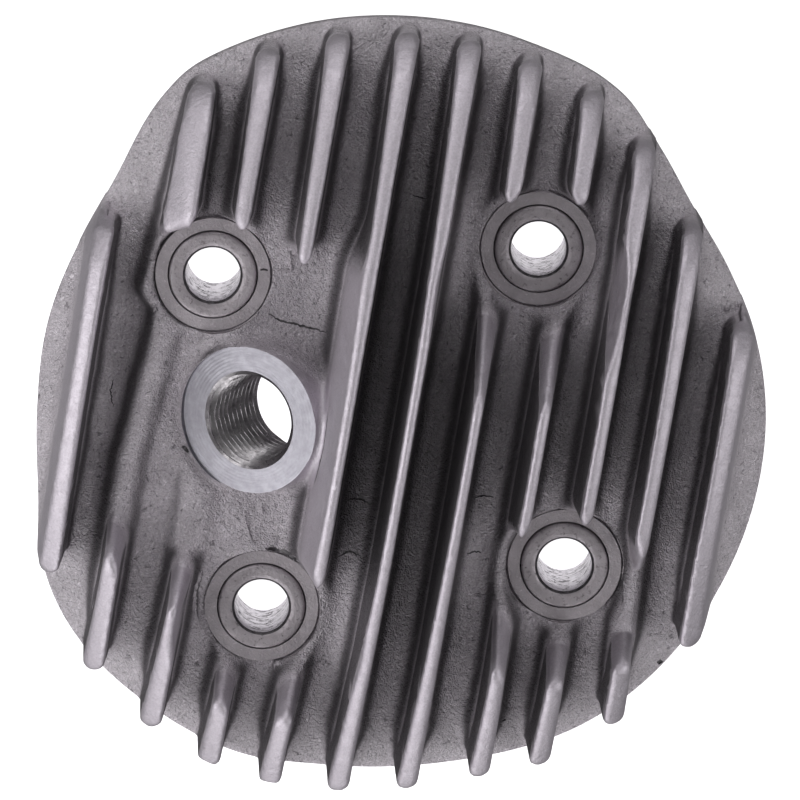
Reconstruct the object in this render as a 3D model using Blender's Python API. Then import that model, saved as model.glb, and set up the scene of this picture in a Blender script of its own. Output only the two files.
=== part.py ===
"""Cylinder head of an air-cooled two-stroke engine: one finned aluminium casting that four studs clamp
to the cylinder, with a pressed-in steel sleeve at each stud hole and an angled hole for the spark plug.

Sizes are in millimetres. Places are measured from the cylinder axis, which stands along Z, and Z = 0
is the gasket face that rests on the cylinder. The finished head is moved sideways as one, so that the
world origin is at the centre of its bounding box, at the bottom."""

import math

import bmesh
import bpy
from mathutils import Matrix, Vector

MM = 0.001
GAP = 0.3

# Rim of the head seen from above: (angle in degrees, radius) with a smooth curve between the points.
RIM = (
    (10, 54.7), (22, 53.7), (34, 53.4), (45, 55.3), (54, 57.6), (70, 58.2), (88, 58.4), (103, 58.5),
    (118, 58.2), (126, 56.5), (139, 52.5), (151, 51.4), (166, 51.5), (180, 51.6), (193, 53.0), (206, 56.4),
    (217, 57.6), (232, 57.4), (247, 57.0), (260, 55.2), (279, 54.6), (302, 56.0), (326, 55.8), (354, 55.4),
)
RIM_SIDES = 80

# Base plate, whose top is the deck that the fins stand on
DECK_Z = 12.0
DECK_FLAT = 0.52            # share of the rim's radius over which the deck stays level
RIM_TOP_Z = 3.4
RIM_ROUND = 0.9
FLANGE_Z = 1.8
PAD_RADIUS = 43.0

# Cooling fins: where the middle of each crosses Y = 0, a little unevenly spaced around the bosses
FIN_X = (-45.9, -36.4, -26.4, -16.7, -6.85, 2.25, 11.5, 21.2, 30.0, 38.9, 48.7)
FIN_LEAN = 0.169            # how far a fin moves along X for each millimetre along Y
FIN_DRAFT = math.tan(math.radians(2.65))
CREST_HALF_WIDTH = 0.66     # at the top of the dome
CREST_ROUND = 0.45
DOME_TOP_Z = 35.5
DOME_RADIUS = 89.0
FIN_ROOT_Z = 2.6
FIN_STATIONS = 13
FIN_INSET = 0.2             # between a fin's end and the rim
FIN_NOSE = 2.0              # length of the rounded end

# Studs, all on one circle
STUD_CIRCLE_RADIUS = 33.55
STUDS = {"rear_right": 49.9, "rear_left": 139.4, "front_left": 236.2, "front_right": 319.8}
STUD_HOLE_RADIUS = 4.0
BOSS_RADIUS = 8.45
BOSS_Z = 12.1
SLEEVE_RADIUS = 6.35
SLEEVE_TOP_Z = 12.5
SLEEVE_LENGTH = 5.0
SLEEVE_CHAMFER = 0.55

# Room for the stud nuts and a socket: the fins are cut back by a cone that leans towards the front
WELL_FLOOR_RADIUS = 8.9
WELL_TOP_Z = 38.0
WELL_TOP_RADIUS = 15.8
WELL_TOP_SHIFT = 5.0

# Spark plug hole, M14 x 1.25 with a 12.7 mm reach, leaning towards -X
SEAT = Vector((-20.25, 1.1, 16.0))
PLUG_TILT = math.radians(28)
PLUG_BORE_RADIUS = 6.45
PLUG_CHAMFER_RADIUS = 7.3
SEAT_RADIUS = 11.0
PLUG_BOSS_RADIUS = 11.6
PLUG_BOSS_LENGTH = 9.0
SPOT_FACE_HEIGHT = 7.0

# Room for the spark plug and its spanner: a pocket cut into three fins. Its floor's corners are (X, Y) with
# X measured where the fin through that corner crosses Y = 0. The front wall slopes, the others stand upright.
POCKET = (
    (-41.5, 20), (-41.5, -8), (-37, -13.5), (-30, -17.5), (-22, -19), (-11.5, -19), (-11.5, 26.5), (-30, 26.5),
)
POCKET_RIGHT_Z = 11.8
POCKET_FLOOR_SLOPE = 0.08   # the floor rises towards -X, so it leaves a low ridge of the outer fins
POCKET_FRONT_SLOPE = 1.6    # how much further forward the front wall is at the top than at the floor

# Combustion chamber: a shallow squish band around a dome
BORE_RADIUS = 25.0
SQUISH_DEPTH = 1.0
CHAMBER_RADIUS = 18.5
CHAMBER_DEPTH = 10.0

ROUND_SIDES = 40


def clear_scene():
    for obj in list(bpy.data.objects):
        bpy.data.objects.remove(obj, do_unlink=True)


def material(name, colour, roughness, metallic):
    mat = bpy.data.materials.new(name)
    mat.use_nodes = True
    shader = mat.node_tree.nodes["Principled BSDF"]
    shader.inputs["Base Color"].default_value = (*colour, 1)
    shader.inputs["Roughness"].default_value = roughness
    shader.inputs["Metallic"].default_value = metallic
    return mat


def rim_radius(angle):
    """Radius of the rim at an angle in degrees, on a smooth closed curve through RIM."""
    count = len(RIM)
    angle = (angle - RIM[0][0]) % 360 + RIM[0][0]
    i = max(k for k in range(count) if RIM[k][0] <= angle)

    def point(k):
        turns, k = divmod(k, count)
        return RIM[k][0] + 360 * turns, RIM[k][1]

    (a0, r0), (a1, r1), (a2, r2), (a3, r3) = (point(i + k) for k in (-1, 0, 1, 2))
    span = a2 - a1
    slope1 = (r2 - r0) / (a2 - a0) * span
    slope2 = (r3 - r1) / (a3 - a1) * span
    t = (angle - a1) / span
    return (
        r1 * (2 * t**3 - 3 * t**2 + 1)
        + r2 * (3 * t**2 - 2 * t**3)
        + slope1 * (t**3 - 2 * t**2 + t)
        + slope2 * (t**3 - t**2)
    )


def rim_point(angle, share=1.0, inset=0.0):
    radius = share * (rim_radius(angle) - inset)
    turn = math.radians(angle)
    return radius * math.cos(turn), radius * math.sin(turn)


def loft(name, rings):
    """A closed body through rings of equally many points, with a flat cap on each end."""
    bm = bmesh.new()
    made = [[bm.verts.new((x, y, z)) for x, y, z in ring] for ring in rings]
    for lower, upper in zip(made, made[1:]):
        for i in range(len(lower)):
            j = (i + 1) % len(lower)
            bm.faces.new((lower[i], lower[j], upper[j], upper[i]))
    bm.faces.new(made[0][::-1])
    bm.faces.new(made[-1])
    return bm_object(name, bm)


def bm_object(name, bm):
    """Turns a bmesh drawn in millimetres into an object in metres."""
    bmesh.ops.recalc_face_normals(bm, faces=bm.faces)
    bm.transform(Matrix.Scale(MM, 4))
    mesh = bpy.data.meshes.new(name)
    bm.to_mesh(mesh)
    bm.free()
    mesh.shade_smooth()
    mesh.set_sharp_from_angle(angle=math.radians(35))
    obj = bpy.data.objects.new(name, mesh)
    bpy.context.scene.collection.objects.link(obj)
    return obj


def join(name, parts):
    """Makes one object of several that don't touch each other."""
    bm = bmesh.new()
    for part in parts:
        bm.from_mesh(part.data)
        bpy.data.objects.remove(part, do_unlink=True)
    mesh = bpy.data.meshes.new(name)
    bm.to_mesh(mesh)
    bm.free()
    obj = bpy.data.objects.new(name, mesh)
    bpy.context.scene.collection.objects.link(obj)
    return obj


def circle(radius, x, y, z, sides=ROUND_SIDES):
    turns = [2 * math.pi * i / sides for i in range(sides)]
    return [(x + radius * math.cos(t), y + radius * math.sin(t), z) for t in turns]


def turned(name, x, y, profile, sides=ROUND_SIDES):
    """A body turned about an upright line at (x, y), with a profile of (radius, z) pairs."""
    return loft(name, [circle(radius, x, y, z, sides) for radius, z in profile])


def helper(obj):
    obj.hide_render = True
    obj.display_type = "WIRE"
    return obj


def boolean(obj, operation, other):
    modifier = obj.modifiers.new(other.name, "BOOLEAN")
    modifier.operation = operation
    modifier.solver = "EXACT"
    modifier.object = helper(other)


def stud_place(angle):
    turn = math.radians(angle)
    return STUD_CIRCLE_RADIUS * math.cos(turn), STUD_CIRCLE_RADIUS * math.sin(turn)


def deck_z(share):
    """Height of the deck at a share of the way out to the rim."""
    if share <= DECK_FLAT:
        return DECK_Z
    out = (share - DECK_FLAT) / (1 - DECK_FLAT)
    return RIM_TOP_Z + (DECK_Z - RIM_TOP_Z) * math.cos(out * math.pi / 2) ** 0.8


def base_plate():
    angles = [360 * i / RIM_SIDES for i in range(RIM_SIDES)]

    def ring(z, share=1.0, inset=0.0):
        return [(*rim_point(a, share, inset), z) for a in angles]

    rings = [
        circle(PAD_RADIUS, 0, 0, 0, RIM_SIDES),
        circle(PAD_RADIUS + 0.2, 0, 0, FLANGE_Z, RIM_SIDES),
        ring(FLANGE_Z, inset=RIM_ROUND / 2),
        ring(FLANGE_Z + RIM_ROUND / 2),
        ring(RIM_TOP_Z - RIM_ROUND / 2),
    ]
    for share in (0.985, 0.95, 0.9, 0.84, 0.77, 0.69, 0.6, DECK_FLAT):
        rings.append(ring(deck_z(share), share))
    return loft("head_casting", rings)


def crest_z(x, y):
    return DOME_TOP_Z - DOME_RADIUS + math.sqrt(DOME_RADIUS**2 - x * x - y * y)


def fin_half_width(z):
    return CREST_HALF_WIDTH + (DOME_TOP_Z - z) * FIN_DRAFT


def inside_rim(x, y):
    return math.hypot(x, y) < rim_radius(math.degrees(math.atan2(y, x))) - FIN_INSET


def fin_end(first_x, side):
    """Y of a fin's end, on the side +1 or -1. The fin keeps its full width up to the place where one flank
    meets the rim, and its rounded nose ends before its middle line does."""

    def reach(offsets):
        near, far = 0.0, side * 70.0
        for _ in range(30):
            y = (near + far) / 2
            x = first_x + FIN_LEAN * y
            if all(inside_rim(x + offset, y) for offset in offsets):
                near = y
            else:
                far = y
        return near

    middle = reach([0])
    half = fin_half_width(crest_z(first_x + FIN_LEAN * middle, middle))
    flank = reach([-half, half]) + side * FIN_NOSE
    return min(flank, middle, key=abs)


def fin(first_x):
    front, rear = fin_end(first_x, -1), fin_end(first_x, 1)
    across = Vector((1, -FIN_LEAN)).normalized()
    ends = [front, front + 0.4 * FIN_NOSE, front + 1.4 * FIN_NOSE]
    middle = [front + (rear - front) * i / FIN_STATIONS for i in range(1, FIN_STATIONS)]
    rings = []
    for y in ends + middle + [rear + front - end for end in reversed(ends)]:
        x = first_x + FIN_LEAN * y
        nearest_end = min(y - front, rear - y)
        taper = math.sqrt(min(1.0, 0.3 + 0.5 * nearest_end / FIN_NOSE))
        top = crest_z(x, y)
        wide, root = fin_half_width(top) * taper, fin_half_width(FIN_ROOT_Z) * taper
        soft = min(CREST_ROUND, wide / 2)
        section = [
            (-root, FIN_ROOT_Z), (root, FIN_ROOT_Z), (wide, top - soft),
            (wide - soft, top), (soft - wide, top), (-wide, top - soft),
        ]
        rings.append([(x + across.x * d, y + across.y * d, z) for d, z in section])
    return loft("fin", rings)


def fins():
    rows = join("fins", [fin(first_x) for first_x in FIN_X])
    for name, angle in STUDS.items():
        x, y = stud_place(angle)
        floor = circle(WELL_FLOOR_RADIUS, x, y, BOSS_Z - 0.2)
        mouth = circle(WELL_TOP_RADIUS, x, y - WELL_TOP_SHIFT, WELL_TOP_Z)
        boolean(rows, "DIFFERENCE", loft("well_" + name, [floor, mouth]))
    boolean(rows, "DIFFERENCE", pocket())
    return rows


def pocket():
    right = max(x for x, _ in POCKET)
    floor, mouth = [], []
    for x, y in POCKET:
        floor.append((x + FIN_LEAN * y, y, POCKET_RIGHT_Z + POCKET_FLOOR_SLOPE * (right - x)))
        far_y = y * POCKET_FRONT_SLOPE if y < 0 else y
        mouth.append((x + FIN_LEAN * far_y, far_y, WELL_TOP_Z))
    return loft("plug_pocket", [floor, mouth])


def along_plug(name, profile):
    """A body turned about the plug hole's axis, with a profile of (radius, height above the seat) pairs."""
    tilted = Matrix.Translation(SEAT) @ Matrix.Rotation(-PLUG_TILT, 4, "Y")
    rings = [[tilted @ Vector(p) for p in circle(radius, 0, 0, h)] for radius, h in profile]
    return loft(name, rings)


def head_casting():
    head = base_plate()
    boolean(head, "UNION", fins())
    bosses = []
    for angle in STUDS.values():
        profile = ((BOSS_RADIUS + 0.3, RIM_TOP_Z + 1), (BOSS_RADIUS, BOSS_Z))
        bosses.append(turned("boss", *stud_place(angle), profile))
    boolean(head, "UNION", join("stud_bosses", bosses))
    boss = ((PLUG_BOSS_RADIUS + 0.5, -PLUG_BOSS_LENGTH), (PLUG_BOSS_RADIUS, 0))
    boolean(head, "UNION", along_plug("plug_boss", boss))
    spot = ((SEAT_RADIUS, 0), (SEAT_RADIUS, SPOT_FACE_HEIGHT))
    boolean(head, "DIFFERENCE", along_plug("seat_cutter", spot))

    rise = CHAMBER_DEPTH - SQUISH_DEPTH
    ball = (CHAMBER_RADIUS**2 + rise**2) / (2 * rise)
    dome = []
    for share in (1, 0.88, 0.75, 0.6, 0.42, 0.2, 0.02):
        radius = CHAMBER_RADIUS * share
        dome.append((radius, CHAMBER_DEPTH - ball + math.sqrt(ball**2 - radius**2)))
    chamber = [(BORE_RADIUS, -1), (BORE_RADIUS, 0.3), *dome]
    boolean(head, "DIFFERENCE", turned("chamber_cutter", 0, 0, chamber))
    bore = (
        (PLUG_BORE_RADIUS, -20), (PLUG_BORE_RADIUS, PLUG_BORE_RADIUS - PLUG_CHAMFER_RADIUS),
        (PLUG_CHAMFER_RADIUS, 0), (PLUG_CHAMFER_RADIUS, 2),
    )
    boolean(head, "DIFFERENCE", along_plug("plug_bore_cutter", bore))

    seat_z = SLEEVE_TOP_Z - SLEEVE_LENGTH - GAP
    pocket_radius = SLEEVE_RADIUS + GAP
    hole = (
        (STUD_HOLE_RADIUS, -1), (STUD_HOLE_RADIUS, seat_z), (pocket_radius, seat_z), (pocket_radius, BOSS_Z + 1),
    )
    cutters = [turned("hole", *stud_place(angle), hole) for angle in STUDS.values()]
    boolean(head, "DIFFERENCE", join("stud_hole_cutters", cutters))
    return head


def sleeve(name, angle):
    low = SLEEVE_TOP_Z - SLEEVE_LENGTH
    ring = turned(
        "stud_sleeve_" + name, *stud_place(angle),
        ((SLEEVE_RADIUS, low), (SLEEVE_RADIUS, SLEEVE_TOP_Z - 0.15), (SLEEVE_RADIUS - 0.15, SLEEVE_TOP_Z)),
    )
    hole = turned(
        "sleeve_bore_" + name, *stud_place(angle),
        (
            (STUD_HOLE_RADIUS, low - 1), (STUD_HOLE_RADIUS, SLEEVE_TOP_Z - SLEEVE_CHAMFER),
            (STUD_HOLE_RADIUS + SLEEVE_CHAMFER, SLEEVE_TOP_Z), (STUD_HOLE_RADIUS + SLEEVE_CHAMFER, SLEEVE_TOP_Z + 1),
        ),
    )
    boolean(ring, "DIFFERENCE", hole)
    return ring


def centre_on_origin(head):
    """Moves everything sideways, so that the head's bounding box stands centred on the origin."""
    bpy.context.view_layer.update()
    corners = head.evaluated_get(bpy.context.evaluated_depsgraph_get()).bound_box
    middle = [(min(c[k] for c in corners) + max(c[k] for c in corners)) / 2 for k in (0, 1)]
    for obj in bpy.data.objects:
        obj.location -= Vector((*middle, 0))


def main():
    clear_scene()
    cast = material("cast_aluminium", (0.33, 0.31, 0.31), 0.5, 1.0)
    steel = material("sleeve_steel", (0.36, 0.34, 0.35), 0.42, 1.0)
    head = head_casting()
    head.data.materials.append(cast)
    for name, angle in STUDS.items():
        sleeve(name, angle).data.materials.append(steel)
    centre_on_origin(head)


main()
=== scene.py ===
"""Looks of the finned cylinder head: a die casting with a soft, pebbled skin, then machined.

The casting is a field of distances on a fine grid, in which every fin, boss and pocket blends into its
neighbours as metal does in a mould. It becomes a mesh, and the machined faces, holes and thread are cut
into that mesh with sharp edges. Sizes are in millimetres from the cylinder axis, as in the CAD."""

import math

import bmesh
import bpy
import numpy as np
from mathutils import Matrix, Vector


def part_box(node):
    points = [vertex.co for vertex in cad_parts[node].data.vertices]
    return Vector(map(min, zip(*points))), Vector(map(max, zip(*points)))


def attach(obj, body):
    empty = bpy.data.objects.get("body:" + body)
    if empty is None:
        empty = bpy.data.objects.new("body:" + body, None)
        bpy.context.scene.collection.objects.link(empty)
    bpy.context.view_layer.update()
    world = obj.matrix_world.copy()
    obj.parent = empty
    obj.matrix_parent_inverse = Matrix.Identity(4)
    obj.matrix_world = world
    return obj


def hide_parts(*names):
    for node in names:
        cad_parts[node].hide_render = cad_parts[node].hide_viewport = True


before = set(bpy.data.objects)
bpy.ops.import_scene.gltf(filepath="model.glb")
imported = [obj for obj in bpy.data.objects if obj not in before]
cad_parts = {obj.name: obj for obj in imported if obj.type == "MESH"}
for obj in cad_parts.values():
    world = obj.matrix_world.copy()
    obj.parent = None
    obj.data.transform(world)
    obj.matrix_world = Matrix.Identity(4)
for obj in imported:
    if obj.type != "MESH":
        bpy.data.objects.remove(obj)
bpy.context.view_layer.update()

import openvdb
from mathutils import Matrix, Vector
from mathutils.bvhtree import BVHTree

MM = 0.001
STEP = 0.42                 # of the grid
LOW, HIGH = (-54.0, -57.0, -1.6), (57.0, 60.2, 36.8)
CAST_TRIANGLES = 150_000    # kept in the casting before it is machined

# The shape, as in the CAD
RIM = (
    (10, 54.7), (22, 53.7), (34, 53.4), (45, 55.3), (54, 57.6), (70, 58.2), (88, 58.4), (103, 58.5),
    (118, 58.2), (126, 56.5), (139, 52.5), (151, 51.4), (166, 51.5), (180, 51.6), (193, 53.0), (206, 56.4),
    (217, 57.6), (232, 57.4), (247, 57.0), (260, 55.2), (279, 54.6), (302, 56.0), (326, 55.8), (354, 55.4),
)
DECK_Z, DECK_FLAT, RIM_TOP_Z, FLANGE_Z, PAD_RADIUS = 12.0, 0.52, 3.4, 1.8, 43.0
FIN_X = (-45.9, -36.4, -26.4, -16.7, -6.85, 2.25, 11.5, 21.2, 30.0, 38.9, 48.7)
FIN_LEAN, FIN_INSET, FIN_NOSE = 0.169, 0.2, 2.0
FIN_DRAFT, CREST_HALF_WIDTH = math.tan(math.radians(2.65)), 0.66
DOME_TOP_Z, DOME_RADIUS = 35.45, 89.0
STUD_CIRCLE_RADIUS = 33.55
STUDS = {"rear_right": 49.9, "rear_left": 139.4, "front_left": 236.2, "front_right": 319.8}
STUD_HOLE_RADIUS, BOSS_RADIUS, BOSS_Z = 4.0, 8.45, 12.1
SLEEVE_RADIUS, SLEEVE_TOP_Z, SLEEVE_LENGTH = 6.35, 12.5, 5.0
WELL_FLOOR_RADIUS, WELL_TOP_RADIUS, WELL_TOP_SHIFT, WELL_TOP_Z = 8.9, 15.8, 5.0, 38.0
SEAT, PLUG_TILT = Vector((-20.25, 1.1, 16.0)), math.radians(28)
SEAT_RADIUS, PLUG_BOSS_RADIUS, PLUG_CHAMFER_RADIUS = 11.0, 10.9, 7.3
POCKET = (
    (-41.5, 20), (-41.5, -8), (-37, -13.5), (-30, -17.5),
    (-22, -19), (-11.5, -19), (-11.5, 26.5), (-30, 26.5),
)
POCKET_RIGHT_Z, POCKET_FLOOR_SLOPE, POCKET_FRONT_SLOPE, POCKET_RIDGES_U = 11.8, 0.08, 1.6, -19.5
BORE_RADIUS, SQUISH_DEPTH, CHAMBER_RADIUS, CHAMBER_DEPTH = 25.0, 1.0, 18.5, 10.0
THREAD_PITCH, THREAD_MAJOR, THREAD_MINOR, THREAD_SIDES = 1.25, 7.0, 6.32, 96

# What the CAD leaves out. Fin 1 stands askew, broad at its rear end and with a slanting left flank beside
# its boss. Fin 4 slopes more on the plug's side. The front ends bend aside and stop short by a little.
ASKEW_FIN, ASKEW_Y, ASKEW_X = 1, (-5.0, 31.0, 48.0), (-0.5, 3.0, 1.45)
ASKEW_HALF_WIDTH, ASKEW_START, FACET_WIDTH, FACET_Y = (0.55, 1.65), 16.0, 3.4, (32.0, 50.0)
OPEN_LEFT, OPEN_RIGHT = (0, math.tan(math.radians(6))), (10, math.tan(math.radians(8.5)))
PLUG_FIN, PLUG_FIN_DRAFT, PLUG_FIN_REACH = 4, math.tan(math.radians(8)), (-30.0, 32.0)
CUT_FIN_U, CUT_FIN_Y, CUT_FIN_Z, CUT_FIN_SLOPE = (35.0, 43.0), (-31.0, -23.0), 14.0, 0.45
FIN_FRONT_BEND = (0, -0.4, -1.1, -1.2, -1.6, -0.6, 0.1, 0.7, 0.5, 1.5, 1.2)
FIN_FRONT_TRIM = (1.8, 1.2, 0, -1.0, -1.2, -0.8, -0.2, 0.5, -0.3, 1.4, 2.1)
BEND_START, BEND_END = -15.0, -53.0
REAR_TRIM, REAR_ROUND = 0.8, 6.0      # a fin's rear end stands in from the rim, and its top is well rounded
RIM_BULGE = 0.35, -0.4                # how far the cast edge stands out of the CAD's, in front and behind
SEAT_HOLLOW_RADIUS = 12.0             # the deck around the plug's seat is no higher than the seat

# Unevenness of the cast surface, as size across and height
SWELL, PEBBLE = (6.0, 0.035), (1.7, 0.06)

# How softly the cast shapes meet
FILLET_FIN, FILLET_NEAR_RIM, FILLET_BOSS = 4.2, 0.8, 2.0
ROUND_CREST, ROUND_CUT = 0.9, 2.4

# Painted shade: the skin is painted darker where the tops around it, within this reach, stand this much
# higher
SHELTER_REACH, SHELTER = 3.2, (2.5, 8.0)

# Small marks of the casting, as thickness in mm and a path over the plan. Their places were read from the
# photo.
RAISED_MARKS = (            # flash, drips and nubs
    (0.2, (-16.2, 22.5), (-14.1, 22.5), (-14.3, 25.4)),
    (0.2, (-35.3, -7.9), (-33.4, -7.6), (-31.3, -7.9)),
    (0.19, (-19.7, -18.2), (-20.3, -17.2), (-21.0, -15.2), (-20.9, -13.6)),
    (0.17, (-18.5, -12.4), (-18.4, -14.0)), (0.17, (-16.6, -12.6), (-16.9, -13.8)),
    (0.3, (-27.3, -22.4), (-28.3, -25.4), (-28.4, -28.5), (-27.9, -31.5)),
    (0.35, (-15.8, -36.6), (-18.7, -36.2)), (0.25, (28.5, -36.5), (28.8, -35.7)),
    (0.22, (16.5, -26.5), (17.3, -27.1)), (0.45, (19.4, -30.7), (20.0, -31.3)),
    (0.35, (25.0, -31.4), (25.3, -32.2)), (0.5, (48.9, 15.3), (49.4, 15.5)),
    (0.22, (38.1, -12.1), (38.3, -12.4)), (0.25, (34.3, -24.0), (34.5, -27.6)),
    (0.14, (8.9, -21.3), (10.4, -22.3)), (0.14, (-12.6, 11.2), (-11.9, 9.4)),
)
# Their cut faces get the dark shadowed metal, which is painted shade
CUT_MARKS = (               # cracks, gaps, nicks and chips
    (0.17, (-17.5, 16.0), (-15.8, 15.1), (-12.9, 14.3), (-10.0, 13.6), (-7.4, 13.3)),
    (0.16, (12.5, -11.4), (13.7, -11.0), (15.2, -11.4)),
    (0.15, (11.4, -19.8), (12.4, -19.5), (13.4, -19.8)),
    (0.18, (-7.2, -12.0), (-5.5, -11.5), (-3.9, -11.6), (-2.9, -12.3)),
    (0.16, (-7.4, -20.2), (-5.9, -19.6), (-4.2, -20.1)),
    (0.42, (-18.0, -18.9), (-15.1, -19.7), (-13.9, -20.3), (-12.4, -21.5)),
    (0.17, (-18.6, 22.5), (-17.1, 22.5)), (0.25, (-25.6, -8.1), (-24.3, -8.9)),
    (0.3, (-30.1, -3.9), (-29.2, -4.8)), (0.5, (46.9, -29.3), (47.9, -29.9)),
    (0.5, (39.8, -38.5), (40.6, -39.4)), (0.35, (16.4, -46.6), (17.2, -46.6)),
    (0.12, (-40.2, 1.5), (-40.6, 3.9), (-40.1, 5.6)), (0.12, (3.4, 33.6), (5.2, 33.2), (6.3, 33.7)),
)

# Stage and camera
DISTANCE, VIEW_TILT, PIXELS_PER_MM = 1.0, math.radians(13.8), 6.8
IMAGE, SENSOR = 800, 36.0
WORLD_GLOW, FLOOR_GLOW = 0.14, 0.93
LIGHTS = (                  # name, place and size in metres, glow
    ("left_box", (-0.80, -0.06, 0.42), (0.9, 1.1), 2.3),
    ("right_box", (0.80, 0.0, 0.42), (0.9, 1.1), 1.4),
    ("back_box", (-0.1, 0.90, 0.27), (1.2, 0.7), 1.8),
    ("front_box", (-0.2, -0.85, 0.35), (1.1, 0.7), 2.0),
)


def stud_place(angle):
    turn = math.radians(angle)
    return STUD_CIRCLE_RADIUS * math.cos(turn), STUD_CIRCLE_RADIUS * math.sin(turn)


def cylinder_axis():
    """Where the cylinder axis stands in the row frame, in metres, from the sleeves of the CAD model."""
    places = []
    for name, angle in STUDS.items():
        low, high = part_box("stud_sleeve_" + name)
        x, y = stud_place(angle)
        places.append((low + high) / 2 - Vector((x, y, 0)) * MM)
    middle = sum(places, Vector()) / len(places)
    return Vector((middle.x, middle.y, 0))


AXIS = cylinder_axis()


# ---------------------------------------------------------------- the casting as a field of distances

def points_along(k):
    return np.arange(LOW[k], HIGH[k], STEP, dtype=np.float32)


X, Y, Z = (points_along(k) for k in range(3))
x, y, z = X[:, None, None], Y[None, :, None], Z[None, None, :]


def soft_min(a, b, blend):
    share = np.maximum(blend - np.abs(a - b), 0) / blend
    return np.minimum(a, b) - share * share * blend / 4


def soft_max(a, b, blend):
    return -soft_min(-a, -b, blend)


def near(low, high):
    """The part of the grid in a box, as slices."""
    return tuple(slice(*np.searchsorted(p, (a, b))) for p, a, b in zip((X, Y, Z), low, high))


def level(height, up=None):
    """Turns a height over the plan into a field that is true to distance on its slopes."""
    across, along = np.gradient(height[:, :, 0], STEP)
    steep = np.sqrt(1 + across**2 + along**2)[:, :, None]
    return ((z if up is None else up) - height) / np.minimum(steep, 4)


def soft_noise(cell, seed):
    """Smooth noise between -1 and 1, with lumps about this size."""
    chance = np.random.default_rng(seed)
    mixes = []
    for p in (X, Y, Z):
        place = (p - p[0]) / cell
        i = place.astype(int)
        t = place - i
        t = t * t * (3 - 2 * t)
        mix = np.zeros((len(p), i[-1] + 2), np.float32)
        mix[np.arange(len(p)), i] = 1 - t
        mix[np.arange(len(p)), i + 1] = t
        mixes.append(mix)
    lumps = chance.uniform(-1, 1, [m.shape[1] for m in mixes]).astype(np.float32)
    for mix in mixes:
        lumps = np.tensordot(lumps, mix, axes=(0, 1))
    return lumps


def rim_radius(angle):
    """Radius of the rim at angles in degrees, on a smooth closed curve through RIM."""
    a, r = (np.array(v, float) for v in zip(*RIM))
    a, r = np.concatenate([a - 360, a, a + 360]), np.tile(r, 3)
    slope = (np.roll(r, -1) - np.roll(r, 1)) / (np.roll(a, -1) - np.roll(a, 1))
    i = np.searchsorted(a, angle, side="right") - 1
    span = a[i + 1] - a[i]
    t = (angle - a[i]) / span
    return (
        r[i] * (2 * t**3 - 3 * t**2 + 1) + r[i + 1] * (3 * t**2 - 2 * t**3)
        + span * slope[i] * (t**3 - 2 * t**2 + t) + span * slope[i + 1] * (t**3 - t**2)
    )


def plan():
    """Distance past the rim, height of the deck and height of the dome over the plan."""
    out, rim = np.hypot(x, y), rim_at(x, y)
    return out, (out - rim) * 0.98 - rim_bulge(y), deck_z(out, rim), dome_z(out)


def rim_bulge(along):
    return RIM_BULGE[0] * smooth_step(along, -10, -45) + RIM_BULGE[1] * smooth_step(along, 49, 55)


def dome_z(out):
    return DOME_TOP_Z - DOME_RADIUS + np.sqrt(DOME_RADIUS**2 - np.minimum(out, 62) ** 2)


def deck_z(out, rim):
    fall = np.clip((out / rim - DECK_FLAT) / (1 - DECK_FLAT), 0, 1)
    return RIM_TOP_Z + (DECK_Z - RIM_TOP_Z) * np.maximum(np.cos(fall * math.pi / 2), 0) ** 0.8


def rim_at(px, py):
    """Radius of the rim in the direction of each point."""
    every = np.arange(0, 361, 0.5)
    return np.interp(np.degrees(np.arctan2(py, px)) % 360, every, rim_radius(every)).astype(np.float32)


def inside_rim(px, py):
    return math.hypot(px, py) < rim_radius(math.degrees(math.atan2(py, px)) % 360) - FIN_INSET


def fin_end(first_x, side):
    """Y of a fin's end, on the side +1 or -1, by the same rule as in the CAD."""

    def reach(offsets):
        inner, outer = 0.0, side * 70.0
        for _ in range(30):
            along = (inner + outer) / 2
            if all(inside_rim(first_x + FIN_LEAN * along + offset, along) for offset in offsets):
                inner = along
            else:
                outer = along
        return inner

    middle = reach([0])
    out = math.hypot(first_x + FIN_LEAN * middle, middle)
    crest = DOME_TOP_Z - DOME_RADIUS + math.sqrt(DOME_RADIUS**2 - out**2)
    half = CREST_HALF_WIDTH + (DOME_TOP_Z - crest) * FIN_DRAFT
    return min(reach([-half, half]) + side * FIN_NOSE, middle, key=abs)


def smooth_step(value, start, end):
    share = np.clip((value - start) / (end - start), 0, 1)
    return share * share * (3 - 2 * share)


def centre_shift(number, py):
    """How far a fin's middle line stands aside of its straight line."""
    shift = FIN_FRONT_BEND[number] * smooth_step(py, BEND_START, BEND_END)
    if number == ASKEW_FIN:
        shift = shift + np.interp(py, ASKEW_Y, ASKEW_X).astype(np.float32)
    return shift


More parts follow.
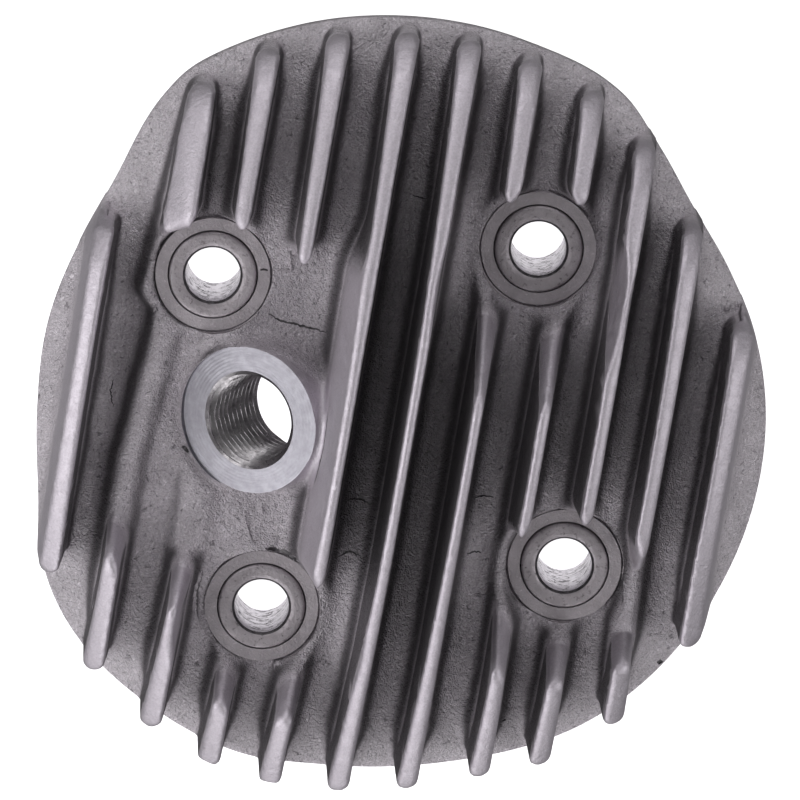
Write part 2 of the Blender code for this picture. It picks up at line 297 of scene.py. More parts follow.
def half_widths(number, py, pz, top):
    """Half the thickness of a fin to its left and to its right."""
    plain = CREST_HALF_WIDTH + (DOME_TOP_Z - pz) * FIN_DRAFT
    if number == PLUG_FIN:
        low, high = PLUG_FIN_REACH
        share = smooth_step(py, low, low + 9) * (1 - smooth_step(py, high - 9, high))
        return plain + (DOME_TOP_Z - pz) * (PLUG_FIN_DRAFT - FIN_DRAFT) * share, plain
    if number == ASKEW_FIN:
        narrow = 1 - smooth_step(py, ASKEW_Y[1], ASKEW_Y[2])
        crest = ASKEW_HALF_WIDTH[1] + (ASKEW_HALF_WIDTH[0] - ASKEW_HALF_WIDTH[1]) * narrow
        right = crest + (top - pz) * FIN_DRAFT
        facet = FACET_WIDTH * np.clip((FACET_Y[1] - py) / (FACET_Y[1] - FACET_Y[0]), 0, 1)
        left = right + np.minimum(np.maximum(top - pz, 0), facet)
        share = smooth_step(py, ASKEW_START, ASKEW_START + 4)
        return plain + (left - plain) * share, plain + (right - plain) * share
    drafts = [draft if number == fin else FIN_DRAFT for fin, draft in (OPEN_LEFT, OPEN_RIGHT)]
    return tuple(plain + np.maximum(top - pz, 0) * (draft - FIN_DRAFT) for draft in drafts)


def fins(dome):
    """Upright blades with rounded ends, thicker towards their roots, under one dome."""
    body = np.full(np.broadcast_shapes(x.shape, y.shape, z.shape), 9, np.float32)
    for number, first_x in enumerate(FIN_X):
        front, rear = fin_end(first_x, -1) + FIN_FRONT_TRIM[number], fin_end(first_x, 1) - REAR_TRIM
        low = (first_x + FIN_LEAN * front - 8, front - 6, -2)
        where = near(low, (first_x + FIN_LEAN * rear + 9, rear + 6, 40))
        px, py, pz = x[where[0]], y[:, where[1]], z[:, :, where[2]]
        top = dome[where[0], where[1]]
        across = (px - first_x - FIN_LEAN * py - centre_shift(number, py)) / math.hypot(1, FIN_LEAN)
        left, right = half_widths(number, py, pz, top)
        end_half = CREST_HALF_WIDTH + (DOME_TOP_Z - pz) * FIN_DRAFT
        past_end = np.maximum(np.maximum(py - rear + end_half, front + end_half - py), 0)
        blade = np.hypot(across, past_end) - np.where(across < 0, left, right)
        to_end = np.clip(py - rear + REAR_ROUND, 0, REAR_ROUND)
        top = top - REAR_ROUND + np.sqrt(REAR_ROUND**2 - to_end**2 + 0.01)
        blade = soft_max(blade, level(np.broadcast_to(top, blade.shape[:2] + (1,)), pz), ROUND_CREST)
        body[where] = np.minimum(body[where], blade)
    for angle in STUDS.values():
        cut_away(body, well(angle), ROUND_CUT)
    cut_away(body, pocket(), ROUND_CUT)
    cut_away(body, cut_fin(), ROUND_CUT)
    return body


def cut_fin():
    """The stretch of one fin beside its stud well that is cut down to a low ridge."""
    (left, right), (front, rear) = CUT_FIN_U, CUT_FIN_Y
    where = near((left - 8, front - 12, 8), (right + 2, rear + 3, 40))
    px, py, pz = x[where[0]], y[:, where[1]], z[:, :, where[2]]
    u = px - FIN_LEAN * py
    front = front - CUT_FIN_SLOPE * (pz - CUT_FIN_Z)
    side = np.maximum(np.maximum(left - u, u - right), np.maximum(front - py, py - rear) * 0.9)
    return where, np.maximum(side, CUT_FIN_Z - pz)


def cut_away(body, part, blend):
    """Takes a part, given as (slices, field), out of the body."""
    where, field = part
    body[where] = soft_max(body[where], -field, blend)


def well(angle):
    """The leaning cone that a stud's nut and socket need."""
    cx, cy = stud_place(angle)
    where = near((cx - 18, cy - 23, 8), (cx + 18, cy + 14, 40))
    px, py, pz = x[where[0]], y[:, where[1]], z[:, :, where[2]]
    up = (pz - BOSS_Z + 0.2) / (WELL_TOP_Z - BOSS_Z + 0.2)
    radius = WELL_FLOOR_RADIUS + (WELL_TOP_RADIUS - WELL_FLOOR_RADIUS) * up
    side = np.hypot(px - cx, py - cy + WELL_TOP_SHIFT * up) - radius
    return where, np.maximum(side * 0.96, BOSS_Z - 1.5 - pz)


def pocket():
    """The room for the plug and its spanner. Its floor leaves low ridges of the two outer fins."""
    where = near((-48, -33, 7), (-4, 30, 40))
    px, py, pz = x[where[0]], y[:, where[1]], z[:, :, where[2]]
    up = (pz - POCKET_RIGHT_Z) / (WELL_TOP_Z - POCKET_RIGHT_Z)
    ahead = np.where(py < 0, py / (1 + (POCKET_FRONT_SLOPE - 1) * np.maximum(up, 0)), py)
    u, v = np.broadcast_arrays(px - FIN_LEAN * py, ahead)
    side = outline_distance(u, v, POCKET)
    rise = np.clip((POCKET_RIDGES_U - u) / 4, 0, 1)
    floor = 8 + rise * (POCKET_RIGHT_Z - 8) + POCKET_FLOOR_SLOPE * (POCKET[5][0] - u)
    return where, np.maximum(side, floor - pz)


def outline_distance(u, v, corners):
    """Distance to a closed outline in the plane, negative inside."""
    nearest, turns = np.full(u.shape, 1e9, np.float32), np.zeros(u.shape, bool)
    for (ax, ay), (bx, by) in zip(corners, corners[1:] + corners[:1]):
        ex, ey = bx - ax, by - ay
        t = np.clip(((u - ax) * ex + (v - ay) * ey) / (ex * ex + ey * ey), 0, 1)
        nearest = np.minimum(nearest, np.hypot(u - ax - t * ex, v - ay - t * ey))
        crosses = (ay > v) != (by > v)
        if ey:
            turns ^= crosses & (u < ax + (v - ay) * ex / ey)
    return np.where(turns, -nearest, nearest)


def plug_boss():
    where = near((-40, -16, 2), (0, 18, 30))
    px, py, pz = x[where[0]] - SEAT.x, y[:, where[1]] - SEAT.y, z[:, :, where[2]] - SEAT.z
    height = -px * math.sin(PLUG_TILT) + pz * math.cos(PLUG_TILT)
    side = np.hypot(px * math.cos(PLUG_TILT) + pz * math.sin(PLUG_TILT), py)
    wall = side - PLUG_BOSS_RADIUS + 0.06 * height
    return where, soft_max(soft_max(wall, height - 0.4, 0.5), -height - 9, 0.5)


def seat_hollow():
    """The room above the plane of the plug's seat, a little wider than the seat."""
    where = near((-42, -20, 4), (2, 22, 30))
    px, py, pz = x[where[0]] - SEAT.x, y[:, where[1]] - SEAT.y, z[:, :, where[2]] - SEAT.z
    height = -px * math.sin(PLUG_TILT) + pz * math.cos(PLUG_TILT)
    side = np.hypot(px * math.cos(PLUG_TILT) + pz * math.sin(PLUG_TILT), py)
    return where, np.maximum(side - SEAT_HOLLOW_RADIUS, -0.15 - height)


def casting_field():
    out, past_rim, deck, dome = plan()
    plate = soft_max(soft_max(past_rim - 1.5, level(deck), 0.6), FLANGE_Z - z, 0.6)
    pad = np.maximum(out - PAD_RADIUS - 0.1, -1 - z)
    plate = soft_min(plate, soft_max(pad, z - 5, 0.5), 0.6)
    fillet = FILLET_NEAR_RIM + (FILLET_FIN - FILLET_NEAR_RIM) * smooth_step(past_rim, -1, -8)
    body = soft_min(plate, fins(dome), fillet)
    cut_away(body, seat_hollow(), 1.5)
    where, boss = plug_boss()
    body[where] = soft_min(body[where], boss, FILLET_BOSS)
    inner = smooth_step(past_rim, -0.5, -3) * smooth_step(z, 17, 12)
    return body + SWELL[1] * soft_noise(SWELL[0], 1) + PEBBLE[1] * soft_noise(PEBBLE[0], 2) * inner


def object_from(name, points, faces):
    """A mesh object in metres in the row frame, from points in millimetres and equal-sided faces."""
    mesh = bpy.data.meshes.new(name)
    mesh.vertices.add(len(points))
    mesh.vertices.foreach_set("co", (points * MM + np.array(AXIS)).astype(np.float32).ravel())
    sides = faces.shape[1]
    mesh.loops.add(faces.size)
    mesh.loops.foreach_set("vertex_index", faces.astype(np.int32).ravel())
    mesh.polygons.add(len(faces))
    mesh.polygons.foreach_set("loop_start", np.arange(0, faces.size, sides, dtype=np.int32))
    mesh.update(calc_edges=True)
    obj = bpy.data.objects.new(name, mesh)
    bpy.context.scene.collection.objects.link(obj)
    return obj


def mesh_from_field(name, field):
    grid = openvdb.FloatGrid(background=float(STEP * 3))
    grid.copyFromArray(np.clip(field, -STEP * 3, STEP * 3).astype(np.float32))
    points, quads = grid.convertToQuads(isovalue=0.0)
    return object_from(name, points * STEP + np.array(LOW), quads)


# ---------------------------------------------------------------- materials

class Look:
    """A Principled material with helpers that add procedural textures, in millimetres of the row frame."""

    def __init__(self, name, colour, metallic, roughness):
        self.material = bpy.data.materials.new(name)
        self.material.use_nodes = True
        self.tree = self.material.node_tree
        self.shader = self.tree.nodes["Principled BSDF"]
        self.shader.inputs["Base Color"].default_value = (*colour, 1)
        self.shader.inputs["Metallic"].default_value = metallic
        self.shader.inputs["Roughness"].default_value = roughness
        self.material.diffuse_color = (*colour, 1)
        self.place = self.mapped(self.node("ShaderNodeTexCoord").outputs["Object"], scale=1 / MM)

    def node(self, kind, inputs=(), **settings):
        node = self.tree.nodes.new(kind)
        for name, value in settings.items():
            setattr(node, name, value)
        for name, value in dict(inputs).items():
            if isinstance(value, bpy.types.NodeSocket):
                self.tree.links.new(value, node.inputs[name])
            else:
                node.inputs[name].default_value = value
        return node

    def mapped(self, source, offset=(0, 0, 0), turn=(0, 0, 0), scale=1.0):
        """Coordinates about a point of the row frame in metres, turned and scaled."""
        moved = self.node("ShaderNodeMapping", {0: source, 1: offset}, vector_type="POINT").outputs[0]
        return self.node("ShaderNodeMapping", {0: moved, 2: turn, 3: (scale,) * 3}).outputs[0]

    def noise(self, size, detail=4.0, rough=0.5, warp=0.0, place=None):
        """Noise with features about this many millimetres across."""
        return self.node("ShaderNodeTexNoise", {
            "Vector": place or self.place, "Scale": 1 / size, "Detail": detail,
            "Roughness": rough, "Distortion": warp,
        }).outputs["Fac"]

    def between(self, value, low, high, to_low=0.0, to_high=1.0):
        return self.node("ShaderNodeMapRange", {
            "Value": value, "From Min": low, "From Max": high, "To Min": to_low, "To Max": to_high,
        }).outputs["Result"]

    def mix(self, share, first, second):
        node = self.node("ShaderNodeMix", data_type="RGBA")
        for slot, value in ((0, share), (6, first), (7, second)):
            if isinstance(value, bpy.types.NodeSocket):
                self.tree.links.new(value, node.inputs[slot])
            else:
                node.inputs[slot].default_value = value if slot == 0 else (*value, 1)
        return node.outputs[2]

    def maths(self, operation, first, second):
        return self.node("ShaderNodeMath", {0: first, 1: second}, operation=operation).outputs[0]

    def attribute(self, name):
        return self.node("ShaderNodeAttribute", attribute_name=name).outputs["Fac"]

    def colour(self, value):
        self.tree.links.new(value, self.shader.inputs["Base Color"])

    def roughness(self, value):
        self.tree.links.new(value, self.shader.inputs["Roughness"])

    def bumps(self, *layers):
        """Adds bumps, each a height between 0 and 1 and its depth in millimetres."""
        last = None
        for height, depth in layers:
            inputs = {"Height": height, "Distance": depth * MM}
            if last:
                inputs["Normal"] = last
            last = self.node("ShaderNodeBump", inputs).outputs["Normal"]
        self.tree.links.new(last, self.shader.inputs["Normal"])


def cast_skin():
    """Die-cast metal: blotchy and pebbled on the deck, finer on the fins' crests, with shade painted dark on
    their flanks and low between them.
    """
    look = Look("cast_skin", (0.5, 0.465, 0.5), 1.0, 0.6)
    crest, flank, gap_shade = look.attribute("crest"), look.attribute("flank"), look.attribute("gap_shade")
    blotches = look.between(look.noise(8, 5, 0.6), 0.35, 0.65)
    grains = look.between(look.noise(0.3, 3, 0.6), 0.36, 0.64)
    skin = look.mix(blotches, (0.58, 0.543, 0.58), (0.72, 0.676, 0.72))
    skin = look.mix(look.maths("MULTIPLY", grains, 0.4), skin, (0.28, 0.26, 0.28))
    specks = look.between(look.noise(0.6, 2, 0.5, 0.6), 0.60, 0.72)
    skin = look.mix(look.maths("MULTIPLY", specks, 0.6), skin, (0.9, 0.85, 0.9))
    pits = look.between(look.noise(0.8, 3, 0.55, 0.8), 0.40, 0.28)
    skin = look.mix(look.maths("MULTIPLY", pits, 0.7), skin, (0.12, 0.11, 0.12))
    # Painted shade, darkest low between the fins
    skin = look.mix(look.maths("MULTIPLY", gap_shade, 0.9), skin, (0.10, 0.093, 0.10))
    # Painted shade: the flanks of the fins between the outer two are painted near black
    skin = look.mix(flank, skin, (0.14, 0.13, 0.14))
    bright = look.mix(grains, (0.50, 0.465, 0.51), (0.58, 0.54, 0.59))
    look.colour(look.mix(crest, skin, bright))
    look.roughness(look.between(look.noise(1.5, 4), 0.25, 0.75, 0.48, 0.66))
    pebbled = look.between(crest, 0, 0.5, 1.0, 0.15)
    pebbles = look.maths("MULTIPLY", look.noise(0.75, 3, 0.55, 0.8), pebbled)
    fine = look.maths("MULTIPLY", look.noise(0.24, 2, 0.6), pebbled)
    look.bumps((pebbles, 0.7), (fine, 0.3))
    return look.material


def ring_metal():
    """The spot-faced tops of the stud bosses: dull grey, scuffed and slightly rough."""
    look = Look("ring_metal", (0.3, 0.285, 0.295), 1.0, 0.5)
    tone = look.mix(look.between(look.noise(3, 5, 0.6), 0.35, 0.65), (0.44, 0.405, 0.43), (0.54, 0.50, 0.53))
    specks = look.between(look.noise(0.4, 3, 0.6), 0.62, 0.7)
    look.colour(look.mix(specks, tone, (0.68, 0.64, 0.67)))
    look.roughness(look.between(look.noise(0.8, 4), 0.3, 0.7, 0.45, 0.65))
    look.bumps((look.noise(0.4, 4, 0.6), 0.12))
    return look.material


def shadowed_metal():
    """Painted shade: a dark metal for the chamfer and seam around each stud hole and for the faces of the cut
    marks, where shade falls.
    """
    look = Look("shadowed_metal", (0.1, 0.095, 0.1), 1.0, 0.6)
    mottle = look.between(look.noise(0.8, 4, 0.6), 0.4, 0.7)
    look.colour(look.mix(mottle, (0.09, 0.085, 0.09), (0.2, 0.19, 0.2)))
    look.roughness(look.between(look.noise(0.6, 3), 0.3, 0.7, 0.5, 0.7))
    look.bumps((look.noise(0.35, 3), 0.03))
    return look.material


def about_plug(look):
    """Coordinates in millimetres with the plug's axis along Z."""
    centre = AXIS + SEAT * MM
    source = look.node("ShaderNodeTexCoord").outputs["Object"]
    return look.mapped(source, tuple(-centre), (0, PLUG_TILT, 0), 1 / MM)


def tool_tracks(look, place, size, warp):
    """The rings a cutter leaves about the Z axis of these coordinates."""
    wave = look.node("ShaderNodeTexWave", {
        "Vector": place, "Scale": 1 / size, "Distortion": warp, "Detail": 2.0, "Detail Scale": 1.5,
    }, wave_type="RINGS", rings_direction="Z")
    return wave.outputs["Fac"]


def faced_metal():
    """The plug's seat, faced by a cutter that left fine rings."""
    look = Look("faced_metal", (0.4, 0.39, 0.43), 1.0, 0.34)
    place = about_plug(look)
    tracks = tool_tracks(look, place, 1.6, 0.35)
    fine = tool_tracks(look, place, 0.45, 0.6)
    dust = look.between(look.noise(1.2, 5, 0.65), 0.35, 0.7)
    look.colour(look.mix(dust, (0.31, 0.30, 0.335), (0.39, 0.38, 0.42)))
    look.roughness(look.between(look.noise(0.9, 4), 0.3, 0.7, 0.36, 0.5))
    look.bumps((tracks, 0.02), (fine, 0.012), (look.noise(0.3, 3), 0.012))
    return look.material


def gasket_metal():
    """The underside's machined faces, turned about the cylinder axis."""
    look = Look("gasket_metal", (0.60, 0.58, 0.62), 1.0, 0.36)
    place = look.mapped(look.node("ShaderNodeTexCoord").outputs["Object"], tuple(-AXIS), (0, 0, 0), 1 / MM)
    blotches = look.between(look.noise(6, 6, 0.6), 0.3, 0.7)
    look.colour(look.mix(blotches, (0.52, 0.50, 0.54), (0.64, 0.62, 0.66)))
    look.roughness(look.between(look.noise(1.1, 4), 0.3, 0.7, 0.3, 0.45))
    look.bumps((tool_tracks(look, place, 0.9, 0.3), 0.006), (look.noise(0.3, 3), 0.004))
    return look.material


def bored_metal():
    """Holes drilled through the casting: bright, with torn pores whose shade is painted near black."""
    look = Look("bored_metal", (0.6, 0.58, 0.61), 1.0, 0.4)
    stretched = look.node("ShaderNodeMapping", {0: look.place, 3: (1, 1, 2.6)}).outputs[0]
    torn = look.between(look.noise(1.5, 6, 0.7, 1.0, stretched), 0.54, 0.6)
    # Painted shade: the torn pores are dents of the bump, coloured near black for their shade
    look.colour(look.mix(torn, (0.66, 0.63, 0.67), (0.05, 0.045, 0.05)))
    look.roughness(look.between(look.noise(0.8, 4), 0.3, 0.7, 0.34, 0.55))
    look.bumps((torn, -0.15), (look.noise(0.4, 3), 0.02))
    return look.material


def thread_metal():
    """The tapped thread: bright metal, blotched with dirt."""
    look = Look("thread_metal", (0.6, 0.58, 0.6), 1.0, 0.3)
    mottle = look.between(look.noise(1.4, 5, 0.65), 0.4, 0.7)
    look.colour(look.mix(mottle, (0.42, 0.40, 0.415), (0.2, 0.19, 0.2)))
    look.roughness(look.between(look.noise(0.7, 4), 0.3, 0.7, 0.24, 0.42))
    look.bumps((look.noise(0.25, 3), 0.015))
    return look.material


def sleeve_metal():
    """The rings at the stud holes: dull, with dark specks."""
    look = Look("sleeve_metal", (0.3, 0.285, 0.295), 1.0, 0.5)
    specks = look.between(look.noise(0.9, 6, 0.7), 0.56, 0.66)
    tone = look.mix(look.between(look.noise(3, 5, 0.6), 0.35, 0.65), (0.44, 0.405, 0.43), (0.54, 0.50, 0.53))
    look.colour(look.mix(specks, tone, (0.22, 0.2, 0.21)))
    look.roughness(look.between(look.noise(0.8, 4), 0.3, 0.7, 0.42, 0.6))
    look.bumps((look.noise(0.45, 4, 0.6), 0.12), (specks, -0.05))
    return look.material


# ---------------------------------------------------------------- crisp bodies and cuts

def applied(obj):
    """Bakes an object's modifiers into its mesh."""
    graph = bpy.context.evaluated_depsgraph_get()
    mesh = bpy.data.meshes.new_from_object(obj.evaluated_get(graph), depsgraph=graph)
    obj.modifiers.clear()
    old, obj.data = obj.data, mesh
    bpy.data.meshes.remove(old)


def carve(obj, tool, material, operation="DIFFERENCE"):
    """Cuts with a tool, or adds it, leaving its material on the new faces."""
    tool.data.materials.append(material)
    modifier = obj.modifiers.new("carve", "BOOLEAN")
    modifier.operation, modifier.solver, modifier.object = operation, "MANIFOLD", tool
    modifier.material_mode = "TRANSFER"
    applied(obj)
    bpy.data.objects.remove(tool, do_unlink=True)


def rings_object(name, rings, place=Matrix()):
    """A closed body through rings of equally many points, capped at both ends by fans."""
    count, sides = len(rings), len(rings[0])
    ends = [rings[0].mean(axis=0), rings[-1].mean(axis=0)]
    points = np.concatenate([np.concatenate(rings), ends])
    faces = []
    for k in range(count - 1):
        for i in range(sides):
            a, b = k * sides + i, k * sides + (i + 1) % sides
            faces += [(a, b, b + sides), (a, b + sides, a + sides)]
    last, bottom, top = (count - 1) * sides, count * sides, count * sides + 1
    for i in range(sides):
        j = (i + 1) % sides
        faces += [(bottom, j, i), (top, last + i, last + j)]
    turn, shift = np.array(place.to_3x3()), np.array(place.translation)
    return object_from(name, points @ turn.T + shift, np.array(faces))


def turned(name, profile, place, sides=128):
    turn = np.linspace(0, 2 * math.pi, sides, endpoint=False)
    circles = [np.stack([r * np.cos(turn), r * np.sin(turn), np.full(sides, h)], axis=1) for r, h in profile]
    return rings_object(name, circles, place)


def at_stud(angle):
    return Matrix.Translation((*stud_place(angle), 0))


ALONG_PLUG = Matrix.Translation(SEAT) @ Matrix.Rotation(-PLUG_TILT, 4, "Y")


def thread_cutter():
    """The shape of the plug's threaded end: a helix with flat crests and roots, and an entry chamfer."""
    turn = np.arange(THREAD_SIDES) / THREAD_SIDES
    circles = []
    for h in np.arange(-20.0, 1.6, THREAD_PITCH / 12):
        phase = (h / THREAD_PITCH - turn) % 1
        flank = np.clip(np.abs(phase - 0.5) * 2 * 1.3 - 0.12, 0, 1)
        radius = THREAD_MINOR + (THREAD_MAJOR - THREAD_MINOR) * flank
        radius = np.maximum(radius, PLUG_CHAMFER_RADIUS + min(h, 0))
        across, along = radius * np.cos(turn * 2 * math.pi), radius * np.sin(turn * 2 * math.pi)
        circles.append(np.stack([across, along, np.full(THREAD_SIDES, h)], axis=1))
    return rings_object("thread_cutter", circles, ALONG_PLUG)


def chamber_profile():
    rise = CHAMBER_DEPTH - SQUISH_DEPTH
    ball = (CHAMBER_RADIUS**2 + rise**2) / (2 * rise)
    dome = []
    for share in np.cos(np.linspace(0, math.pi / 2, 24))[:-1]:
        radius = CHAMBER_RADIUS * share
        dome.append((radius, CHAMBER_DEPTH - ball + math.sqrt(ball**2 - radius**2)))
    return [(BORE_RADIUS, -2), (BORE_RADIUS, 0.3), *dome, (0.05, CHAMBER_DEPTH)]


def wavy_disc(name, radius, low, high, place, wave, seed):
    """An upright disc whose outline wanders by a fraction of a millimetre."""
    chance = np.random.default_rng(seed)
    turn = np.linspace(0, 2 * math.pi, 160, endpoint=False)
    outline = np.full(len(turn), float(radius))
    for count in (2, 3, 5, 9, 16):
        outline += wave / math.sqrt(count) * np.sin(count * turn + chance.uniform(0, 2 * math.pi))
    ring = np.stack([outline * np.cos(turn), outline * np.sin(turn)], axis=1)
    return rings_object(name, [np.column_stack([ring, np.full(len(ring), h)]) for h in (low, high)], place)


def trim_rim(head, cast):
    """Trims the cast edge to a clean outline, as the tool that takes off the flash does."""
    turn = np.linspace(0, 2 * math.pi, 540, endpoint=False)
    radius = rim_radius(np.degrees(turn))
    radius = radius + rim_bulge(radius * np.sin(turn))
    outline = np.stack([radius * np.cos(turn), radius * np.sin(turn)], axis=1)
    rings = [np.column_stack([outline, np.full(len(outline), h)]) for h in (-5, 45)]
    carve(head, rings_object("outline", rings), cast, "INTERSECT")


def add_bosses(head, cast, ring):
    """Faced stud bosses, each in a ragged moat."""
    for number, angle in enumerate(STUDS.values()):
        place = at_stud(angle)
        moat = wavy_disc("moat", BOSS_RADIUS + 0.12, BOSS_Z - 1.1, BOSS_Z + 1, place, 0.09, 50 + number)
        carve(head, moat, cast)
        boss = wavy_disc("boss", BOSS_RADIUS - 0.15, 5, BOSS_Z + 0.05, place, 0.02, 40 + number)
        carve(head, boss, cast, "UNION")
        over = BOSS_RADIUS + 0.2
        carve(head, turned("boss_face", ((over, BOSS_Z), (over, BOSS_Z + 2)), place), ring)


def strand(tree, width, path, seed, lift):
    """Rings of a thin uneven thread laid along a path on the surface, thinner towards both its ends."""
    chance = np.random.default_rng(seed)
    path = np.array(path, float)
    lengths = np.concatenate([[0], np.cumsum(np.hypot(*np.diff(path, axis=0).T))])
    count = max(4, round(lengths[-1] / 0.3))
    along = np.linspace(0, lengths[-1], count)
    points = np.stack([np.interp(along, lengths, path[:, k]) for k in (0, 1)], axis=1)
    wander = min(0.12, width)
    points[1:-1] += chance.uniform(-wander, wander, (count - 2, 2))
    laid = []
    for px, py in points:
        hit, normal = tree.ray_cast(AXIS + Vector((px, py, 50)) * MM, Vector((0, 0, -1)))[:2]
        if hit is not None and normal.z > 0.5:
            laid.append((px, py, hit.z / MM))
    if len(laid) < 3:
        return None
    count, points, heights = len(laid), np.array(laid)[:, :2], np.array(laid)[:, 2]
    ahead = np.gradient(points, axis=0)
    aside = np.stack([-ahead[:, 1], ahead[:, 0]], axis=1) / np.hypot(*ahead.T)[:, None]
    turn = np.linspace(0, 2 * math.pi, 10, endpoint=False)
    rings = []
    for k in range(count):
        share = math.sin(math.pi * (k + 0.6) / (count + 0.2)) ** 0.5
        radius = width * share * chance.uniform(0.75, 1.25)
        flat = points[k] + np.outer(np.cos(turn) * radius, aside[k])
        rings.append(np.column_stack([flat, heights[k] + lift * radius + np.sin(turn) * radius]))
    return rings


def add_marks(head, cast, shadow):
    """Lays the raised marks on the casting, then cuts the others into it, with painted shade on their cut
    faces.
    """
    for marks, lift, material, operation in (
        (RAISED_MARKS, 0.0, cast, "UNION"), (CUT_MARKS, 0.25, shadow, "DIFFERENCE"),
    ):
        body = bmesh.new()
        body.from_mesh(head.data)
        tree = BVHTree.FromBMesh(body)
        body.free()
        for number, (width, *path) in enumerate(marks):
            rings = strand(tree, width, path, 70 + number, lift)
            if rings:
                carve(head, rings_object("mark", rings), material, operation)


def finish_shading(obj, cast):
    """Smooth all over, with sharp edges only where a machined face starts or turns."""
    mesh = obj.data
    mesh.shade_smooth()
    mesh.set_sharp_from_angle(angle=math.radians(32))
    cast_slot = mesh.materials.find(cast.name)
    slots = np.zeros(len(mesh.polygons), np.int32)
    mesh.polygons.foreach_get("material_index", slots)
    loop_edges = np.zeros(len(mesh.loops), np.int32)
    mesh.loops.foreach_get("edge_index", loop_edges)
    counts = np.zeros(len(mesh.polygons), np.int32)
    mesh.polygons.foreach_get("loop_total", counts)
    of_loop = np.repeat(slots, counts)
    lowest, highest = np.full(len(mesh.edges), 99), np.full(len(mesh.edges), -1)
    np.minimum.at(lowest, loop_edges, of_loop)
    np.maximum.at(highest, loop_edges, of_loop)
    sharp = np.zeros(len(mesh.edges), bool)
    mesh.edges.foreach_get("use_edge_sharp", sharp)
    sharp = np.where(lowest != highest, True, sharp & (lowest != cast_slot))
    mesh.edges.foreach_set("use_edge_sharp", sharp)


def top_heights(field):
    """Height of the casting's top over the plan, averaged over SHELTER_REACH to each side."""
    solid = field < 0
    tops = np.where(solid.any(axis=2), Z[-1] - STEP * np.argmax(solid[:, :, ::-1], axis=2), 0)
    width = 2 * round(SHELTER_REACH / STEP) + 1
    for axis in (0, 1, 0, 1):
        tops = np.apply_along_axis(np.convolve, axis, tops, np.full(width, 1 / width), "same")
    return tops


def mark_skin(obj, tops):
    """Stores three shares for each point: a fin's crest, a fin's flank and a place low between fins. The
    flank and the low place are where shade is painted onto the skin.
    """
    mesh = obj.data
    points, normals = (np.zeros(len(mesh.vertices) * 3, np.float32) for _ in range(2))
    mesh.vertices.foreach_get("co", points)
    mesh.vertices.foreach_get("normal", normals)
    px, py, pz = ((points.reshape(-1, 3) - np.array(AXIS, np.float32)) / MM).T
    nx, ny, nz = normals.reshape(-1, 3).T
    above = pz - deck_z(np.hypot(px, py), rim_at(px, py))
    # A share for a fin's side. Where it faces another fin, it places the painted flank shade
    flank = smooth_step(np.abs(nx - FIN_LEAN * ny) / math.hypot(1, FIN_LEAN), 0.3, 0.85)
    between_fins = (px - FIN_LEAN * py > FIN_X[0]) & (px - FIN_LEAN * py < FIN_X[-1])
    flank = flank * smooth_step(above, 0.2, 1.2) * between_fins
    upright = 1 - smooth_step(nz, 0.08, 0.15) * smooth_step(above, 2, 4)
    crest = smooth_step(above, 2, 9) * (1 - flank * upright)
    flank = flank * upright
    i, j = (np.clip(((p - low) / STEP).astype(int), 0, n - 1) for p, low, n in zip((px, py), LOW, tops.shape))
    # Painted shade between the fins, stronger where the tops around stand higher
    gap_shade = smooth_step(tops[i, j] - pz, *SHELTER) * (1 - crest) * between_fins
    for name, share in (("crest", crest), ("flank", flank), ("gap_shade", gap_shade)):
        mesh.attributes.new(name, "FLOAT", "POINT").data.foreach_set("value", share.astype(np.float32))


def head_casting():
    cast, gasket, faced = cast_skin(), gasket_metal(), faced_metal()
    bored, thread = bored_metal(), thread_metal()
    field = casting_field()
    head = mesh_from_field("finned_casting", field)
    head.data.materials.append(cast)
    thin = head.modifiers.new("thin", "DECIMATE")
    thin.ratio = CAST_TRIANGLES / (2 * len(head.data.polygons))
    applied(head)
    trim_rim(head, cast)
    add_bosses(head, cast, ring_metal())
    carve(head, turned("table", ((80, -4), (80, 0)), Matrix(), 24), gasket)
    carve(head, turned("chamber", chamber_profile(), Matrix(), 160), gasket)
    carve(head, turned("spot_face", ((SEAT_RADIUS, 0), (SEAT_RADIUS, 7)), ALONG_PLUG, 160), faced)
    carve(head, thread_cutter(), thread)
    floor_z = SLEEVE_TOP_Z - SLEEVE_LENGTH - 0.02
    for angle in STUDS.values():
        hole = ((STUD_HOLE_RADIUS, -1), (STUD_HOLE_RADIUS, floor_z), (SLEEVE_RADIUS + 0.2, floor_z),
                (SLEEVE_RADIUS + 0.2, BOSS_Z + 2))
        carve(head, turned("hole", hole, at_stud(angle)), bored)
    add_marks(head, cast, shadowed_metal())
    mark_skin(head, top_heights(field))
    finish_shading(head, cast)
    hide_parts("head_casting")
    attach(head, "root")
    return head


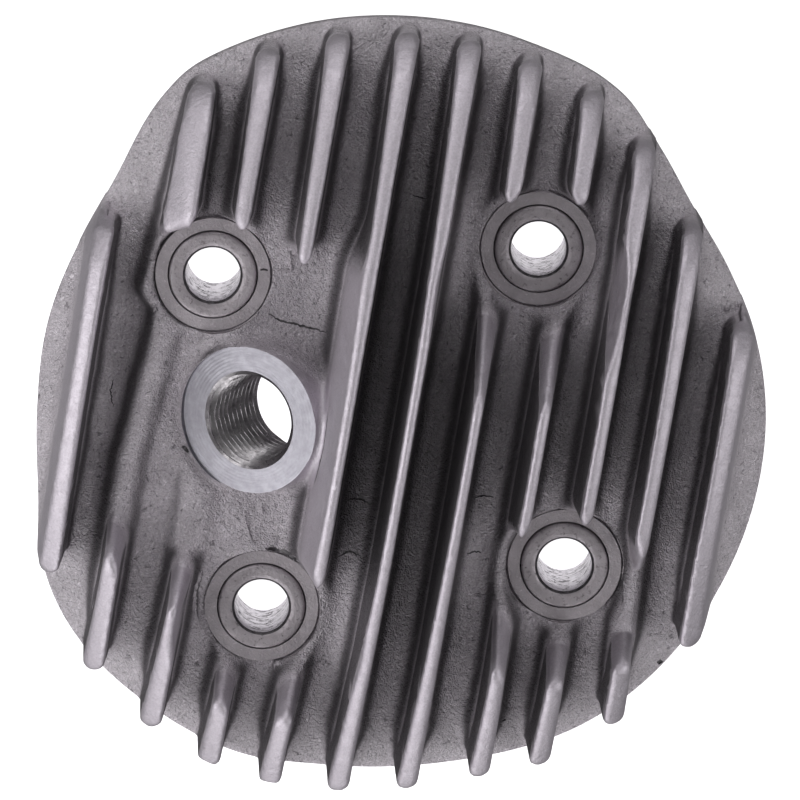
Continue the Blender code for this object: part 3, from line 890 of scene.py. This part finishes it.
def sleeve(name, angle, metals):
    """The ring at a stud hole, a separate short tube as in the CAD, a little proud of its boss."""
    low, high = SLEEVE_TOP_Z - SLEEVE_LENGTH, SLEEVE_TOP_Z
    profile = (
        (STUD_HOLE_RADIUS, low + 0.05), (SLEEVE_RADIUS - 0.3, low + 0.05), (SLEEVE_RADIUS, low + 0.35),
        (SLEEVE_RADIUS, high - 0.35), (SLEEVE_RADIUS - 0.12, high - 0.12),
        (SLEEVE_RADIUS - 0.35, high - 0.02), (5.6, high - 0.02), (5.0, high - 0.02),
        (STUD_HOLE_RADIUS + 0.42, high - 0.04),
        (STUD_HOLE_RADIUS + 0.32, high - 0.12), (STUD_HOLE_RADIUS, high - 0.5),
    )
    sides, count = 160, len(profile)
    turn = np.linspace(0, 2 * math.pi, sides, endpoint=False)
    cx, cy = stud_place(angle)
    points = [(cx + r * math.cos(a), cy + r * math.sin(a), h) for r, h in profile for a in turn]
    faces = []
    for k in range(count):
        for i in range(sides):
            j, upper = (i + 1) % sides, (k + 1) % count
            faces.append((k * sides + i, k * sides + j, upper * sides + j, upper * sides + i))
    ring = object_from("sleeve_" + name, np.array(points), np.array(faces))
    for metal in metals:
        ring.data.materials.append(metal)
    # The chamfer into the hole gets the painted shade of the shadowed metal, and the last band gets the bored
    # wall
    slots = [{count - 2: 1, count - 1: 2}.get(k, 0) for k in range(count) for _ in range(sides)]
    ring.data.polygons.foreach_set("material_index", slots)
    ring.data.shade_smooth()
    ring.data.set_sharp_from_angle(angle=math.radians(50))
    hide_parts("stud_sleeve_" + name)
    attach(ring, "root")


# ---------------------------------------------------------------- stage, light and camera

def camera():
    data = bpy.data.cameras.new("camera")
    data.sensor_width = SENSOR
    data.lens = PIXELS_PER_MM * DISTANCE / MM / IMAGE * SENSOR
    data.clip_start, data.clip_end = 0.05, 20
    cam = bpy.data.objects.new("camera", data)
    back = Vector((0, math.sin(VIEW_TILT), math.cos(VIEW_TILT)))
    up = Vector((0, math.cos(VIEW_TILT), -math.sin(VIEW_TILT)))
    turned_axes = Matrix((up.cross(back), up, back)).transposed().to_4x4()
    target = AXIS + Vector((1.59, 0, 0)) * MM + up * 0.18 * MM
    cam.matrix_world = Matrix.Translation(target + back * DISTANCE) @ turned_axes
    bpy.context.scene.collection.objects.link(cam)
    bpy.context.scene.camera = cam


def glowing(name, colour, glow):
    look = Look(name, colour, 0.0, 0.9)
    look.shader.inputs["Emission Color"].default_value = (1, 1, 1, 1)
    look.shader.inputs["Emission Strength"].default_value = glow
    return look.material


def sheet(name, sides, radius, height, material):
    """A flat disc of the stage."""
    turn = np.linspace(0, 2 * math.pi, sides, endpoint=False)
    points = np.stack([radius * np.cos(turn), radius * np.sin(turn), np.full(sides, height)], axis=1)
    disc = object_from(name, points, np.arange(sides)[None, :])
    disc.data.materials.append(material)
    return disc


def stage():
    floor = sheet("floor", 96, 3000, -0.06, glowing("floor", (0.8, 0.8, 0.81), FLOOR_GLOW))
    floor.visible_glossy = False
    sheet("light_table", 64, 42, -0.03, glowing("light_table", (0.9, 0.9, 0.9), 1.0))


def light(name, place, size, glow):
    """A soft box that faces the part, with the same glow all over."""
    data = bpy.data.lights.new(name, "AREA")
    data.shape, data.size, data.size_y = "RECTANGLE", size[0], size[1]
    data.energy = glow * math.pi * size[0] * size[1]
    obj = bpy.data.objects.new(name, data)
    obj.location = place
    obj.rotation_euler = Vector(place).to_track_quat("Z", "Y").to_euler()
    bpy.context.scene.collection.objects.link(obj)


def lights():
    world = bpy.data.worlds.new("world")
    world.use_nodes = True
    background = world.node_tree.nodes["Background"]
    background.inputs["Color"].default_value = (1, 1, 1, 1)
    background.inputs["Strength"].default_value = WORLD_GLOW
    bpy.context.scene.world = world
    for name, place, size, glow in LIGHTS:
        light(name, place, size, glow)
    bpy.context.scene.view_settings.view_transform = "Standard"


head_casting()
sleeve_metals = sleeve_metal(), shadowed_metal(), bored_metal()
for name, angle in STUDS.items():
    sleeve(name, angle, sleeve_metals)
camera()
stage()
lights()
